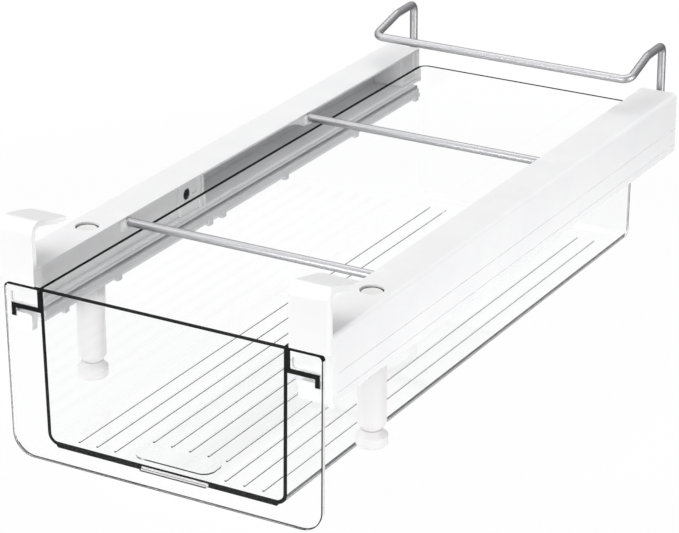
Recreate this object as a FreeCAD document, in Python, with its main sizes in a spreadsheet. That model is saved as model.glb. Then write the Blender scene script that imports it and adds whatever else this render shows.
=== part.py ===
import FreeCAD, Part
import Sketcher
import math
import os
from FreeCAD import Rotation, Vector

# A clear drawer that hangs under a fridge shelf. Two white rails with hooked front brackets and a
# sprung wire bail grip the shelf, two clamp screws press up against it, and the drawer slides in
# the rails. Frame: +X right, +Y to the back, +Z up. The origin is the middle of the shelf seat:
# Z = 0 is the top of the rails, Y = 0 the back of the hooks, where the front edge of a shelf stops.

doc = FreeCAD.newDocument("fridge_drawer")
sheet = doc.addObject("Spreadsheet::Sheet", "Sizes")
rows = []


class Size:
    """A length with its number and the formula that gives it from the sheet."""

    def __init__(self, number, formula=None):
        self.number = float(number)
        self.formula = formula or str(float(number))

    def joined(self, other, sign, number):
        return Size(number, f"({self.formula} {sign} {other.formula})")

    def __add__(self, other):
        other = as_size(other)
        return self.joined(other, "+", self.number + other.number)

    def __sub__(self, other):
        other = as_size(other)
        return self.joined(other, "-", self.number - other.number)

    def __mul__(self, other):
        other = as_size(other)
        return self.joined(other, "*", self.number * other.number)

    def __truediv__(self, other):
        other = as_size(other)
        return self.joined(other, "/", self.number / other.number)

    def __neg__(self):
        return self * -1

    def __radd__(self, other):
        return as_size(other) + self

    def __rsub__(self, other):
        return as_size(other) - self


def as_size(value):
    return value if isinstance(value, Size) else Size(value)


def size(alias, number, note):
    """One driving dimension: a plain number in the sheet, with its name as alias."""
    rows.append(alias)
    sheet.set(f"A{len(rows)}", note)
    sheet.set(f"B{len(rows)}", str(number))
    sheet.setAlias(f"B{len(rows)}", alias)
    return Size(number, f"Sizes.{alias}")


# Driving dimensions, in millimetres

# rails: an E-shaped channel, open towards the drawer
rail_half_span = size("rail_half_span", 92.5, "middle of the part to a rail's outer face")
rail_width = size("rail_width", 21.5, "width of a rail's top plate")
rail_height = size("rail_height", 34, "height of a rail")
rail_length = size("rail_length", 377, "length of a rail between bracket and rear cap")
top_plate = size("top_plate", 1.2, "thickness of the top plate")
outer_wall = size("outer_wall", 3, "thickness of the outer wall")
web = size("web", 1.8, "thickness of the web over the drawer flange")
sole = size("sole", 2.2, "thickness of the rail's bottom plate")
skirt = size("skirt", 4.7, "outer wall below the bottom plate")
rail_round = size("rail_round", 2, "radius of the rail's outer top edge")
rail_foot_round = size("rail_foot_round", 0.8, "radius of the rail's outer bottom edge")
rail_inset = size("rail_inset", 0.5, "how far web and sole stand back from the plate edge")
groove_depth = size("groove_depth", 0.3, "depth of the lines moulded along the outer wall")
groove_width = size("groove_width", 0.6, "width of those lines")
upper_line_drop = size("upper_line_drop", 20, "upper line below the rail top")
lower_line_drop = size("lower_line_drop", 29.5, "lower line below the rail top")

# front brackets: hook, end plate and the arm that lies in the rail
end_plate = size("end_plate", 4, "thickness of the bracket's end plate")
upright = size("upright", 3, "thickness of the hook's upright")
hook_height = size("hook_height", 24.5, "hook above the rail top")
hook_foot_gap = size("hook_foot_gap", 0.8, "gap between the upright and the front panel")
lip_knee = size("lip_knee", 17.5, "lip's knee behind the upright")
lip_knee_fall = size("lip_knee_fall", 4.7, "fall of the lip's top to its knee")
lip_reach = size("lip_reach", 27, "lip's end behind the upright")
lip_fall = size("lip_fall", 7.1, "fall of the lip's top to its end")
lip_root = size("lip_root", 3.2, "thickness of the lip")
lip_tip = size("lip_tip", 1.2, "thickness of the lip at its end")
hook_bend = size("hook_bend", 6, "outer radius of the hook's bend")
hook_inner_bend = size("hook_inner_bend", 3, "inner radius of the hook's bend")
hook_round = size("hook_round", 2.5, "radius of the bracket's outer front edge")
hook_corner = size("hook_corner", 5.5, "radius of the hook's outer top corner seen from the front")
skirt_drop = size("skirt_drop", 1.5, "end plate below the rail")
window_top = size("window_top", 14, "top of the end plate's recess below the rail top")
window_edge = size("window_edge", 0.3, "recess from the end plate's inner edge")
window_depth = size("window_depth", 1.5, "depth of that recess")
window_round = size("window_round", 1.2, "radius of that recess's corners")
block_inset = size("block_inset", 3.5, "inner edge of the end plate's lower block from the rail edge")
block_drop = size("block_drop", 24.6, "top of that block below the rail top")
block_round = size("block_round", 2, "radius of that block's corners")
arm_beyond = size("arm_beyond", 15.5, "end of the bracket's arm behind its screw")
arm_inset = size("arm_inset", 2.4, "inner face of the arm from the rail's edge")
arm_thickness = size("arm_thickness", 1.6, "thickness of the arm")
tab_inset = size("tab_inset", 1.3, "inner face of the screw tab from the rail's edge")
tab_thickness = size("tab_thickness", 3.6, "thickness of the screw tab")
screw_place = size("screw_place", 133.5, "bracket screw from the hooks")
screw_drop = size("screw_drop", 7.5, "bracket screw below the rail top")
tab_front = size("tab_front", 7.5, "front of the screw tab from its screw")
tab_lap = size("tab_lap", 3, "overlap of the arm and the screw tab")
tab_rib = size("tab_rib", 1.6, "thickness of the two ribs at the arm's end")
tab_rib_pitch = size("tab_rib_pitch", 4, "distance between those ribs")
rib_inset = size("rib_inset", 0.6, "inner edge of those ribs from the rail's edge")
dimple_place = size("dimple_place", 6, "first of the two dimples from the bracket screw")
dimple_pitch = size("dimple_pitch", 2.8, "distance between the dimples")
dimple_drop = size("dimple_drop", 8.8, "dimples below the rail top")
dimple_radius = size("dimple_radius", 0.7, "radius of the dimples")
dimple_depth = size("dimple_depth", 1.2, "depth of the dimples")
seat_gap = size("seat_gap", 0.1, "gap where one fixed piece sits inside another")

# bracket screws
screw_radius = size("screw_radius", 1.5, "radius of the screw's thread")
screw_head_radius = size("screw_head_radius", 2.8, "radius of the screw's head")
screw_head = size("screw_head", 1.8, "height of the screw's head")
screw_length = size("screw_length", 9, "length of the screw under its head")
screw_recess = size("screw_recess", 2, "depth of the recess for the screw's head")
recess_gap = size("recess_gap", 0.3, "clearance around the screw's head")
cross_slot = size("cross_slot", 0.8, "width and depth of the cross in the screw's head")
boss_radius = size("boss_radius", 3.4, "radius of the rail's screw boss")

# drawer: bin, front panel and the flanges that ride on the runners
bin_side_gap = size("bin_side_gap", 1.7, "gap between the bin's rim and a rail")
bin_taper = size("bin_taper", 1.3, "how much narrower each side of the bin is at the floor")
bin_rim_drop = size("bin_rim_drop", 9.5, "rim below the rail top")
bin_depth = size("bin_depth", 82, "height of the bin")
bin_rear_gap = size("bin_rear_gap", 0.2, "rear wall of the bin from the rear caps' faces")
bin_wall = size("bin_wall", 2, "thickness of the bin's walls")
bin_round = size("bin_round", 6, "outer radius of the bin's corners")
panel_inset = size("panel_inset", 3.5, "side of the front panel from a rail's outer face")
panel_taper = size("panel_taper", 1, "how much narrower each side of the panel is at the bottom")
panel_skirt = size("panel_skirt", 9.3, "front panel below the bin's floor")
panel_thickness = size("panel_thickness", 2.9, "thickness of the front panel")
panel_corner = size("panel_corner", 12, "radius of the panel's bottom corners")
panel_top_corner = size("panel_top_corner", 2.5, "radius of the panel's top corners")
bead_height = size("bead_height", 1.2, "height of the bead under the floor's front edge")
bead_depth = size("bead_depth", 1.5, "depth of that bead")
pull_slot_width = size("pull_slot_width", 37, "length of the groove over the floor's front edge")
pull_slot_height = size("pull_slot_height", 0.9, "height of that groove")
pull_slot_rise = size("pull_slot_rise", 0.7, "groove above the bead's lower edge")
pull_slot_offset = size("pull_slot_offset", 5.5, "groove's middle from the panel's middle")
flange = size("flange", 2.6, "thickness of the bin's flanges")
flange_drop = size("flange_drop", 20, "flange top below the rail top")
flange_clear = size("flange_clear", 0.6, "flange edge from the clamp screw's passage")
ear_inset = size("ear_inset", 6.2, "edge of the flange's wide front end from a rail's outer face")
ear_length = size("ear_length", 12, "length of the flange's wide front end")
ear_lip = size("ear_lip", 4.3, "height of the lip under the ear's edge")
ear_post = size("ear_post", 1.4, "thickness of the strip on the bin's side over the ear")
ear_post_depth = size("ear_post_depth", 2, "depth of that strip")
ear_post_drop = size("ear_post_drop", 11, "top of that strip below the rail top")
lug_length = size("lug_length", 12, "length of the stop lug at the flange's rear end")
lug_set_back = size("lug_set_back", 7.6, "rear end of the flange from the bin's rear wall")
drawer_travel = size("drawer_travel", 245, "how far the drawer pulls out")
floor_ribs = size("floor_ribs", 11, "number of ribs across the floor")
floor_rib = size("floor_rib", 0.9, "width of a floor rib")
floor_rib_height = size("floor_rib_height", 0.7, "height of a floor rib")
rib_pitch = size("rib_pitch", 10.5, "distance between floor ribs")
rib_start = size("rib_start", 4, "front end of the long ribs")
rib_rear_gap = size("rib_rear_gap", 20, "rear end of the ribs from the bin's rear wall")
thumb_depth = size("thumb_depth", 16, "depth of the raised thumb pad at the floor's front")
thumb_half_width = size("thumb_half_width", 22, "half the width of the thumb pad")
thumb_round = size("thumb_round", 6, "radius of the thumb pad's corners")
thumb_gap = size("thumb_gap", 2, "gap between the thumb pad and the ribs behind it")
running_gap = size("running_gap", 0.3, "gap between faces that slide past each other")

# runners: ledges that the flanges ride on
runner_gap = size("runner_gap", 1.1, "runner's inner face from the bin")
runner_side_gap = size("runner_side_gap", 5.8, "runner's outer face from the rail's outer wall")
runner_set_back = size("runner_set_back", 2.3, "rear end of the runner from the rear cap")
runner_round = size("runner_round", 1, "radius of the runner's inner top edge")
barb_length = size("barb_length", 4, "length of a snap tab under the runner")
barb_stem = size("barb_stem", 1.05, "thickness of a snap tab's stem")
barb_reach = size("barb_reach", 2.2, "reach of a snap tab's barb from the runner's face")
barb_drop = size("barb_drop", 1.4, "snap tab below the rail's bottom plate")
stop_inset = size("stop_inset", 5.7, "inner face of the stop block from the runner's outer face")
stop_gap = size("stop_gap", 0.5, "gap between the stop block and the web")
stop_length = size("stop_length", 6, "length of the stop block")

# cross rods and their sockets
rod_radius = size("rod_radius", 2.25, "radius of the cross rods and of the bail wire")
rod_drop = size("rod_drop", 2.9, "rod axis below the rail top")
front_rod_place = size("front_rod_place", 77.6, "front rod from the hooks")
middle_rod_place = size("middle_rod_place", 254.8, "middle rod from the hooks")
clip_reach = size("clip_reach", 9, "depth of a rod clip in the rail")
clip_wall = size("clip_wall", 1, "wall of a rod clip at the rod's end")
clip_half = size("clip_half", 4, "half the length of a rod clip along the rail")
clip_height = size("clip_height", 7, "height of a rod clip")
cradle_wall = size("cradle_wall", 1.6, "wall of the clip's cradle around the rod")
cradle_reach = size("cradle_reach", 1.2, "reach of that cradle out of the rail")
cradle_rise = size("cradle_rise", 1.5, "top of the cradle above the rod's axis")
gusset_length = size("gusset_length", 17, "length of the gusset at the middle clips")
gusset_depth = size("gusset_depth", 4, "depth of that gusset")
gusset_thickness = size("gusset_thickness", 1.5, "thickness of that gusset")
fit_gap = size("fit_gap", 0.05, "radial clearance of a running fit")

# clamp screws: housing with sleeve, knob, screw and pad
clamp_inset = size("clamp_inset", 11.5, "clamp axis from a rail's outer face")
clamp_depth = size("clamp_depth", 56.4, "clamp axis from the hooks")
pad_hole_radius = size("pad_hole_radius", 6, "radius of the hole that the pad rises through")
pad_radius = size("pad_radius", 5.4, "radius of the pressure pad")
pad_height = size("pad_height", 4, "height of the pressure pad")
pad_rest_drop = size("pad_rest_drop", 1.1, "pad below the rail top when screwed down")
pad_socket = size("pad_socket", 2, "depth of the pad's socket for the screw")
clamp_travel = size("clamp_travel", 15, "how far the pad rises")
thread_radius = size("thread_radius", 3, "radius of the clamp screw")
thread_flat = size("thread_flat", 2.5, "flats of the clamp screw from its axis")
sleeve_radius = size("sleeve_radius", 7.2, "radius of the sleeve under the rail")
screw_passage = size("screw_passage", 3.6, "radius of the holes that the clamp screw passes through")
sleeve_length = size("sleeve_length", 37.2, "straight length of the sleeve under its plate")
sleeve_taper = size("sleeve_taper", 3.2, "height of the taper at the sleeve's end")
neck_radius = size("neck_radius", 5, "radius where sleeve and knob meet")
housing_plate = size("housing_plate", 2, "thickness of the housing's plate under the rail")
housing_front = size("housing_front", 34.4, "front edge of the housing's plate from the clamp's axis")
housing_rear = size("housing_rear", 11.6, "rear edge of the housing's plate from the clamp's axis")
housing_inner = size("housing_inner", 6.6, "inner edge of the housing's plate from the clamp's axis")
housing_outer = size("housing_outer", 2, "outer edge of the housing's plate from the clamp's axis")
spigot_radius = size("spigot_radius", 4.6, "radius of the housing's spigot in the rail's bottom")
sleeve_bore = size("sleeve_bore", 5, "radius of the sleeve's inside")
sleeve_top = size("sleeve_top", 4, "solid top of the sleeve around the screw")
neck_lip = size("neck_lip", 2.5, "height of the lip that holds the knob's ring")
shank_radius = size("shank_radius", 3.9, "radius of the knob's shank")
shank_length = size("shank_length", 17, "length of the shank inside the sleeve")
knob_radius = size("knob_radius", 7.9, "radius of the knob")
knob_taper = size("knob_taper", 3, "height of the knob's upper taper")
knob_height = size("knob_height", 5.5, "height of the knob under its taper")
knob_bevel = size("knob_bevel", 0.9, "bevel of the knob's bottom edge")
knob_floor = size("knob_floor", 2, "solid bottom of the knob under the screw")
ring_height = size("ring_height", 0.8, "thickness of the knob's ring")
ring_radius = size("ring_radius", 4.8, "outer radius of the knob's ring")
ring_groove = size("ring_groove", 0.35, "depth of the ring's groove in the shank")

# rear caps and wire bail
rear_cap = size("rear_cap", 1.2, "thickness of the rear cap's plate")
guide_length = size("guide_length", 3, "length of the guide block inside the rail")
box_length = size("box_length", 19.5, "length of the rear cap's box inside the rail")
box_rib = size("box_rib", 1.8, "thickness of the box's front rib, floor and outer strip")
box_inset = size("box_inset", 1, "inner edge of the box from the rail's edge")
cover_inset = size("cover_inset", 2.2, "cover of the box's inner side from the rail's edge")
cover = size("cover", 1.4, "thickness of that cover")
bail_inset = size("bail_inset", 13.5, "bail's arms from a rail's outer face")
bail_drop = size("bail_drop", 9, "bail's arms below the rail top")
leg_gap = size("leg_gap", 3.6, "gap between the rear cap and the start of the wire's lower bend")
leg_height = size("leg_height", 24, "level part of the bail above the rail top")
shoulder_reach = size("shoulder_reach", 20.3, "length of that level part")
shoulder_fall = size("shoulder_fall", 0.6, "fall of that part towards the front")
bar_reach = size("bar_reach", 45, "cross bar in front of the legs")
bar_height = size("bar_height", 16.7, "cross bar above the rail top")
bar_spread = size("bar_spread", 0.7, "ends of the cross bar out from the arms")
low_bend = size("low_bend", 4, "radius of the wire's lower bends")
leg_bend = size("leg_bend", 4, "radius of the wire's top bends")
shoulder_bend = size("shoulder_bend", 8, "radius of the wire's shallow bends")
bar_bend = size("bar_bend", 5, "radius of the wire's bends into the cross bar")
bail_travel = size("bail_travel", 6, "how far the bail can be pulled back")
arm_end_gap = size("arm_end_gap", 0.6, "gap between an arm's end and the box's front rib")
collar_length = size("collar_length", 1.8, "length of the collar at an arm's end")
collar_radius = size("collar_radius", 4, "radius of the collar")
spring_wire = size("spring_wire", 0.4, "radius of the spring's wire")
spring_gap = size("spring_gap", 0.1, "clearance between the spring and its seats")
spring_radius = size("spring_radius", 3, "mean radius of the spring")
spring_turns = size("spring_turns", 5, "turns of the spring")


# Places worked out from the driving dimensions
rail_inner = rail_half_span - rail_width
channel_inner = rail_inner + rail_inset
wall_inner = rail_half_span - outer_wall
rail_rear = end_plate + rail_length
clamp_place = rail_half_span - clamp_inset
bail_place = rail_half_span - bail_inset
rail_bottom = -rail_height
sole_bottom = rail_bottom + skirt
sole_top = sole_bottom + sole
web_bottom = running_gap - flange_drop
web_top = web_bottom + web
seat_outer = wall_inner - seat_gap
seat_top = -(top_plate + seat_gap)
seat_bottom = web_top + seat_gap

flange_top = -flange_drop
flange_bottom = flange_top - flange
runner_top = flange_bottom - running_gap
bin_half_top = rail_inner - bin_side_gap
bin_half_bottom = bin_half_top - bin_taper
runner_inner = bin_half_top + runner_gap
runner_outer = wall_inner - runner_side_gap
runner_rear = rail_rear - runner_set_back
flange_reach = clamp_place - screw_passage - flange_clear
ear_reach = rail_half_span - ear_inset
lug_reach = runner_outer - running_gap
drawer_front = -running_gap
panel_front = drawer_front - panel_thickness
bin_rim = -bin_rim_drop
bin_floor = bin_rim - bin_depth
floor_top = bin_floor + bin_wall
bin_rear = rail_rear + rear_cap - bin_rear_gap
panel_half_top = rail_half_span - panel_inset
panel_half_bottom = panel_half_top - panel_taper
panel_low = bin_floor - panel_skirt
flange_rear = bin_rear - lug_set_back
lug_front = flange_rear - lug_length
stop_rear = lug_front - drawer_travel - running_gap

arm_length = screw_place + arm_beyond
arm_inner = rail_inner + arm_inset
tab_inner = rail_inner + tab_inset
tab_outer = tab_inner + tab_thickness
boss_end = tab_outer + seat_gap
head_seat = tab_inner + screw_recess

housing_bottom = sole_bottom - housing_plate
sleeve_end = housing_bottom - sleeve_length
neck_level = sleeve_end - sleeve_taper
lip_top = neck_level + neck_lip
sleeve_ceiling = sole_bottom - sleeve_top
spigot_top = sole_top - seat_gap
knob_top = neck_level - running_gap
knob_edge = knob_top - knob_taper
knob_bottom = knob_edge - knob_height
bore_bottom = knob_bottom + knob_floor
shank_top = knob_top + shank_length
ring_bottom = lip_top + running_gap
ring_top = ring_bottom + ring_height
groove_radius = shank_radius - ring_groove
clamp_top = -pad_rest_drop
pad_bottom = clamp_top - pad_height
screw_top = pad_bottom + pad_socket
screw_bottom = bore_bottom + running_gap

guide_front = rail_rear - guide_length
box_front = rail_rear - box_length
cap_rear = rail_rear + rear_cap
bail_leg = cap_rear + leg_gap + low_bend
arm_end = box_front + box_rib + arm_end_gap
collar_front = arm_end + arm_end_gap
collar_rear = collar_front + collar_length


# Helpers that make one object each and tie its sizes to the sheet


def tie(thing, **values):
    """Set properties such as Length or Placement.Base.x, each to a formula."""
    for path, value in values.items():
        thing.setExpression(path.replace("__", "."), as_size(value).formula)
    return thing


def place(thing, x=0, y=0, z=0):
    return tie(thing, Placement__Base__x=x, Placement__Base__y=y, Placement__Base__z=z)


def box(name, x, y, z):
    """A block between two values on each axis."""
    block = doc.addObject("Part::Box", name)
    tie(block, Length=x[1] - x[0], Width=y[1] - y[0], Height=z[1] - z[0])
    return place(block, x[0], y[0], z[0])


def rod(name, radius, start, length, axis=Vector(0, 0, 1)):
    """A round bar from start along an axis."""
    bar = doc.addObject("Part::Cylinder", name)
    bar.Placement = FreeCAD.Placement(Vector(), Rotation(Vector(0, 0, 1), axis))
    tie(bar, Radius=radius, Height=length)
    return place(bar, *start)


def fuse(name, pieces):
    whole = doc.addObject("Part::MultiFuse", name)
    whole.Shapes = pieces
    whole.Refine = True
    return whole


def cut(name, base, tools):
    whole = doc.addObject("Part::Cut", name)
    whole.Base = base
    whole.Tool = tools[0] if len(tools) == 1 else fuse(name + "_tools", tools)
    whole.Refine = True
    return whole


def common(name, base, tool):
    whole = doc.addObject("Part::Common", name)
    whole.Base = base
    whole.Tool = tool
    return whole


def mirrored(label, right):
    """The left piece of a pair."""
    left = doc.addObject("Part::Mirroring", label)
    left.Source = right
    left.Normal = Vector(1, 0, 0)
    return left


PLANES = {"XY": "XY_Plane", "XZ": "XZ_Plane", "YZ": "YZ_Plane"}


def outline(body, plane, points, level=0):
    """A closed sketch with straight sides on one of the body's planes, every corner dimensioned."""
    drawing = body.newObject("Sketcher::SketchObject", body.Name + "_outline")
    origin = next(f for f in body.Origin.OriginFeatures if f.Role == PLANES[plane])
    drawing.AttachmentSupport = [(origin, "")]
    drawing.MapMode = "FlatFace"
    offset = -as_size(level) if plane == "XZ" else as_size(level)
    drawing.setExpression("AttachmentOffset.Base.z", offset.formula)
    corners = [(as_size(a), as_size(b)) for a, b in points]
    for (a, b), (c, d) in zip(corners, corners[1:] + corners[:1]):
        start, end = Vector(a.number, b.number, 0), Vector(c.number, d.number, 0)
        drawing.addGeometry(Part.LineSegment(start, end), False)
    last = len(corners) - 1
    for side in range(len(corners)):
        following = 0 if side == last else side + 1
        drawing.addConstraint(Sketcher.Constraint("Coincident", side, 2, following, 1))
    for side, corner in enumerate(corners):
        for kind, value in zip(("DistanceX", "DistanceY"), corner):
            rule = Sketcher.Constraint(kind, -1, 1, side, 1, value.number)
            index = drawing.addConstraint(rule)
            drawing.setExpression(f"Constraints[{index}]", value.formula)
    return drawing


def prism(name, plane, points, start, end):
    """A body with one outline pulled from start to end along the plane's axis."""
    body = doc.addObject("PartDesign::Body", name)
    drawing = outline(body, plane, points, start)
    pad = body.newObject("PartDesign::Pad", name + "_pad")
    pad.Profile = drawing
    pad.Reversed = plane == "XZ"
    tie(pad, Length=as_size(end) - as_size(start))
    body.Tip = pad
    return body


def turned(name, points, x=0, y=0):
    """A body turned about an upright axis, from (radius, height) points."""
    body = doc.addObject("PartDesign::Body", name)
    drawing = outline(body, "XZ", points)
    turn = body.newObject("PartDesign::Revolution", name + "_turn")
    turn.Profile = drawing
    turn.ReferenceAxis = (drawing, ["V_Axis"])
    turn.Angle = 360
    body.Tip = turn
    return place(body, x, y)


def is_near(value, wanted):
    return wanted is None or abs(value - as_size(wanted).number) < 0.01


def edges_at(shape, axis, x=None, y=None, z=None):
    """Names of the straight edges that run along an axis at the given coordinates."""
    names = []
    for number, edge in enumerate(shape.Edges, 1):
        if edge.Curve.TypeId != "Part::GeomLine":
            continue
        run = edge.Vertexes[-1].Point - edge.Vertexes[0].Point
        middle = edge.CenterOfMass
        along = abs(run.normalize().dot(axis)) > 0.99
        if along and is_near(middle.x, x) and is_near(middle.y, y) and is_near(middle.z, z):
            names.append(f"Edge{number}")
    return names


ALONG_X, ALONG_Y, ALONG_Z = Vector(1, 0, 0), Vector(0, 1, 0), Vector(0, 0, 1)


def rounded(body, radius, *places):
    """Round straight edges of a body, each place an axis with the edge's coordinates."""
    doc.recompute()
    base = body.Tip
    names = [n for axis, at in places for n in edges_at(base.Shape, axis, **at)]
    fillet = body.newObject("PartDesign::Fillet", f"{body.Name}_round")
    fillet.Base = (base, names)
    tie(fillet, Radius=radius)
    body.Tip = fillet
    return body


def bent_wire(points, bends):
    """A path of straight runs joined by tangent arcs, one bend radius for each inner point."""
    edges, start = [], points[0]
    for before, corner, after, radius in zip(points, points[1:], points[2:], bends):
        back, ahead = (before - corner).normalize(), (after - corner).normalize()
        half = back.getAngle(ahead) / 2
        reach = radius / math.tan(half)
        middle = (back + ahead).normalize()
        first, last = corner + back * reach, corner + ahead * reach
        crown = corner + middle * (radius / math.sin(half) - radius)
        edges += [Part.LineSegment(start, first).toShape(), Part.Arc(first, crown, last).toShape()]
        start = last
    edges.append(Part.LineSegment(start, points[-1]).toShape())
    return Part.Wire(edges)


def swept(name, path, radius, start, heading, frenet=False):
    """A round wire along a path."""
    ring = Part.Wire(Part.Circle(start, heading, radius).toShape())
    wire = doc.addObject("Part::Feature", name)
    wire.Shape = path.makePipeShell([ring], True, frenet)
    return wire


parts = {}


def finish(label, thing):
    """Keep a finished piece under its label."""
    thing.Label = label
    parts[label] = thing
    return thing


def finish_pair(name, right):
    finish(f"right_{name}", right)
    finish(f"left_{name}", mirrored(f"left_{name}_mirror", right))


# Rod clips and the holes they sit in, on the right-hand side


def clip_block(name, along):
    """The space of a rod clip: it fills its notch in the rail's top plate."""
    reach = (rail_inner, rail_inner + clip_reach)
    return box(name, reach, (along - clip_half, along + clip_half), (-clip_height, 0))


def rod_clip(label, along, gusseted):
    block = clip_block(label + "_block", along)
    bore_end = rail_inner + clip_reach - clip_wall
    start = (rail_inner - cradle_reach, along, -rod_drop)
    bore_radius = rod_radius + fit_gap
    ring = rod(label + "_ring", bore_radius + cradle_wall, start, cradle_reach, ALONG_X)
    bore = rod(label + "_bore", bore_radius, start, bore_end - start[0], ALONG_X)
    mouth_side = (rail_inner - cradle_reach, rail_inner)
    brow = clip_half - rod_drop
    mouth = box(label + "_mouth", mouth_side, (along, along + clip_half), (-rod_drop, brow))
    over_rise = (cradle_rise - rod_drop, brow)
    over = box(label + "_over", mouth_side, (along - clip_half, along), over_rise)
    clip = cut(label + "_bored", fuse(label + "_solid", [block, ring]), [bore, mouth, over])
    if not gusseted:
        return finish_pair(label, clip)
    rear = along - clip_half
    low = -(top_plate + gusset_depth)
    points = [(rear - gusset_length, -top_plate), (rear, low), (rear, -top_plate)]
    sides = (rail_inner, rail_inner + gusset_thickness)
    gusset = prism(label + "_gusset", "YZ", points, *sides)
    return finish_pair(label, fuse(label + "_whole", [clip, gusset]))


rod_clip("front_rod_clip", front_rod_place, False)
rod_clip("middle_rod_clip", middle_rod_place, True)

for label, along in (("front_cross_rod", front_rod_place), ("middle_cross_rod", middle_rod_place)):
    rod_end = rail_inner + clip_reach - clip_wall - running_gap
    finish(label, rod(label + "_bar", rod_radius, (-rod_end, along, -rod_drop), rod_end * 2, ALONG_X))


# Rails: channel, lines on the outer wall, notches for the clips, holes for the clamp, screw boss

channel = prism("channel", "XZ", [
    (rail_inner, 0), (rail_half_span, 0), (rail_half_span, rail_bottom),
    (wall_inner, rail_bottom), (wall_inner, sole_bottom),
    (channel_inner, sole_bottom), (channel_inner, sole_top), (wall_inner, sole_top),
    (wall_inner, web_bottom), (channel_inner, web_bottom), (channel_inner, web_top),
    (wall_inner, web_top), (wall_inner, -top_plate), (rail_inner, -top_plate),
], end_plate, rail_rear)
rounded(channel, rail_round, (ALONG_Y, dict(x=rail_half_span, z=0)))
rounded(channel, rail_foot_round, (ALONG_Y, dict(x=rail_half_span, z=rail_bottom)))

rail_cuts = []
for name, drop in (("upper_line", upper_line_drop), ("lower_line", lower_line_drop)):
    depth = (rail_half_span - groove_depth, rail_half_span + groove_depth)
    height = (-drop - groove_width / 2, groove_width / 2 - drop)
    rail_cuts.append(box(name, depth, (end_plate, rail_rear), height))
for name, along in (("front_notch", front_rod_place), ("middle_notch", middle_rod_place)):
    rail_cuts.append(clip_block(name, along))
for name, radius, top, depth in (
    ("pad_hole", pad_hole_radius, 0, top_plate),
    ("web_hole", screw_passage, web_top, web),
    ("sole_hole", spigot_radius + seat_gap, sole_top, sole),
):
    start = (clamp_place, clamp_depth, as_size(top) - depth)
    rail_cuts.append(rod(name, radius, start, depth))
boss_start = (boss_end, screw_place, -screw_drop)
boss_length = wall_inner + outer_wall / 2 - boss_end
boss = rod("boss", boss_radius, boss_start, boss_length, ALONG_X)
pilot = rod("pilot", screw_radius + fit_gap, boss_start, boss_length, ALONG_X)
finish_pair("rail", cut("rail_body", fuse("rail_and_boss", [channel, boss]), rail_cuts + [pilot]))


# Runners: ledge, stop block and snap tabs

ledge = prism("ledge", "XZ", [
    (runner_inner, sole_top), (runner_outer, sole_top),
    (runner_outer, runner_top), (runner_inner, runner_top),
], end_plate, runner_rear)
rounded(ledge, runner_round, (ALONG_Y, dict(x=runner_inner, z=runner_top)))
stop_side = (runner_outer - stop_inset, runner_outer)
stop_rise = (runner_top - web, web_bottom - stop_gap)
runner_pieces = [ledge, box("stop", stop_side, (stop_rear - stop_length, stop_rear), stop_rise)]
stem_inner = runner_inner
stem_outer = runner_inner + barb_stem
barb_middles = []
for number, along in enumerate((22, 67, 152, 165, 229, 306), 1):
    place_note = f"snap tab {number} from the hooks"
    barb_middles.append(size(f"barb_{number}_place", along, place_note))
barb_middles.append(runner_rear - barb_length / 2)
for number, middle in enumerate(barb_middles, 1):
    run = (middle - barb_length / 2, middle + barb_length / 2)
    low = sole_bottom - barb_drop
    high = sole_bottom - fit_gap
    runner_pieces.append(box(f"stem_{number}", (stem_inner, stem_outer), run, (low, runner_top - web)))
    runner_pieces.append(box(f"barb_{number}", (stem_inner, stem_inner + barb_reach), run, (low, high)))
passage = rod(
    "runner_hole", screw_passage, (clamp_place, clamp_depth, sole_top), runner_top - sole_top,
)
finish_pair("runner", cut("runner_body", fuse("runner_whole", runner_pieces), [passage]))


# Front brackets: hook, end plate, arm with its screw tab and ribs

hook = prism("hook", "YZ", [
    (-upright, bin_rim + hook_foot_gap), (0, bin_rim + hook_foot_gap),
    (0, hook_height - lip_root), (lip_knee, hook_height - lip_knee_fall - lip_root),
    (lip_reach - lip_tip / 2, hook_height - lip_fall - lip_tip),
    (lip_reach, hook_height - lip_fall),
    (lip_knee, hook_height - lip_knee_fall), (-upright, hook_height),
], rail_inner, rail_half_span)
rounded(hook, hook_bend, (ALONG_X, dict(y=-upright, z=hook_height)))
rounded(hook, hook_inner_bend, (ALONG_X, dict(y=0, z=hook_height - lip_root)))
gauge = prism("hook_gauge", "XZ", [
    (rail_inner, bin_rim + hook_foot_gap), (rail_half_span, bin_rim + hook_foot_gap),
    (rail_half_span, hook_height), (rail_inner, hook_height),
], -upright, lip_reach)
rounded(gauge, hook_corner, (ALONG_Y, dict(x=rail_half_span, z=hook_height)))
plan = prism("hook_plan", "XY", [
    (rail_inner, -upright), (rail_half_span, -upright),
    (rail_half_span, lip_reach), (rail_inner, lip_reach),
], bin_rim + hook_foot_gap, hook_height)
rounded(plan, hook_round, (ALONG_Z, dict(x=rail_half_span)), (ALONG_Z, dict(y=lip_reach)))
hook_trimmed = common("hook_trimmed", hook, common("hook_gauges", gauge, plan))

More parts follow.
